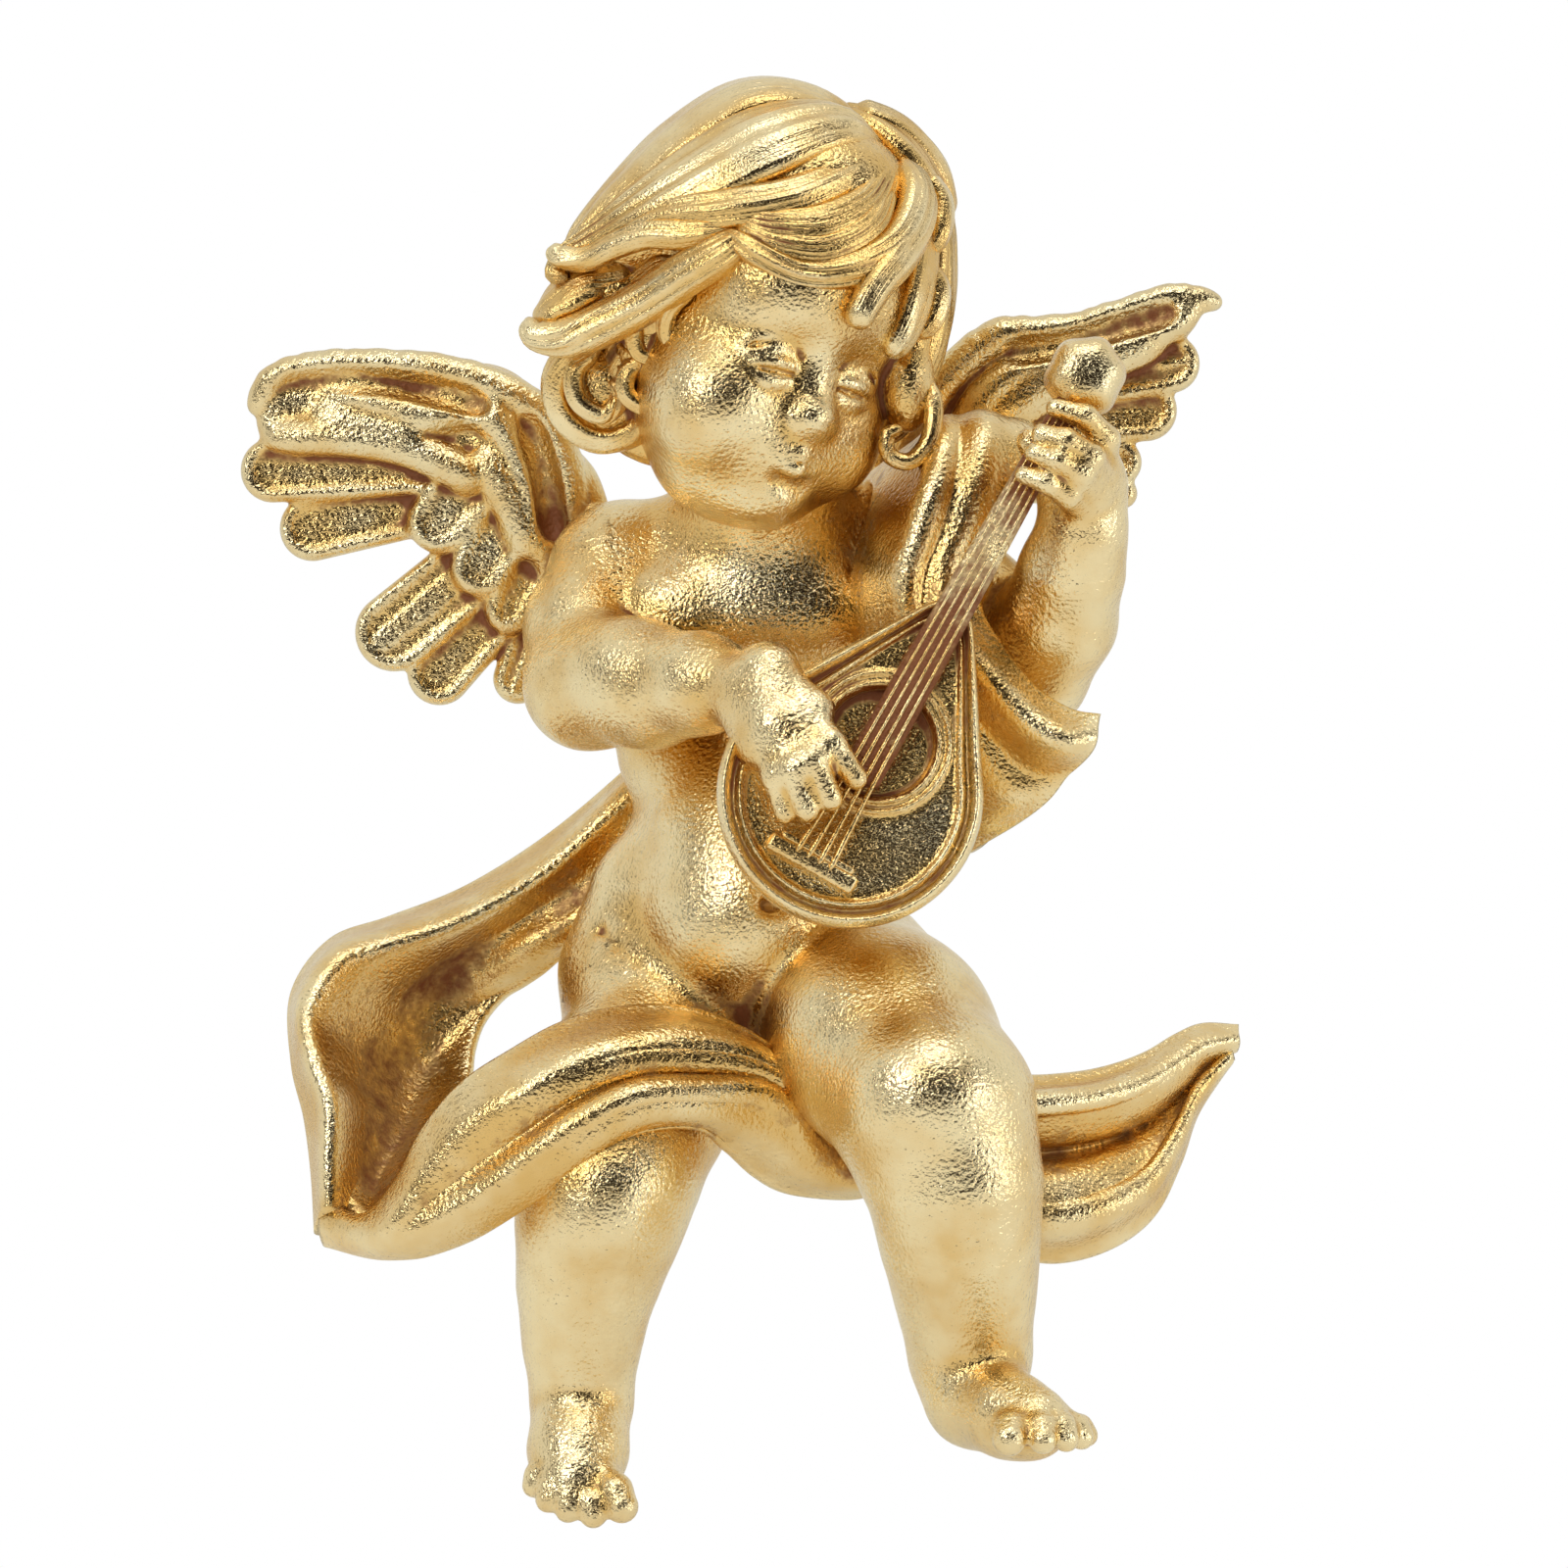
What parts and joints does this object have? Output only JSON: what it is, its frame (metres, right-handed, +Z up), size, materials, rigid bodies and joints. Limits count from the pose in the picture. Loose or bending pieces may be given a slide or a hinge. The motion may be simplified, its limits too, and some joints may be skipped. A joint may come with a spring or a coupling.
{
  "type": "angel figurine",
  "caption": "Wall-hung gilded resin putto with spread wings and a trailing sash, playing a long-necked lute; keyhole hanger on its flat back.",
  "frame": {"origin": "centre of the keyhole's round entry in the hanger plate, on the wall plane", "axes": "+Y out of the figurine's back into the wall, +Z up along its height, +X to the right as a viewer sees it"},
  "size_m": [0.1418, 0.0715, 0.1985],
  "materials": {
    "gilded_resin": "gold leaf over cast resin, satin with a fine grain",
    "gilded_resin_antiqued": "gold leaf with red-brown antiquing in the recesses",
    "steel": "zinc plated"
  },
  "bodies": {
    "root": {"torso": "gilded_resin", "head": "gilded_resin", "right_arm": "gilded_resin", "left_arm": "gilded_resin", "right_leg": "gilded_resin", "left_leg": "gilded_resin", "right_wing": "gilded_resin_antiqued", "left_wing": "gilded_resin_antiqued", "drape_swag": "gilded_resin", "drape_tail": "gilded_resin", "drape_scarf": "gilded_resin", "lute_body": "gilded_resin", "lute_neck": "gilded_resin_antiqued", "lute_bridge": "gilded_resin", "lute_strings": "gilded_resin", "hanger_plate": "steel", "hanger_screws": "steel", "neck_pin": "steel", "arm_pins": "steel", "leg_pins": "steel", "wing_pins": "steel", "lute_pin": "steel"}
  },
  "joints": []
}
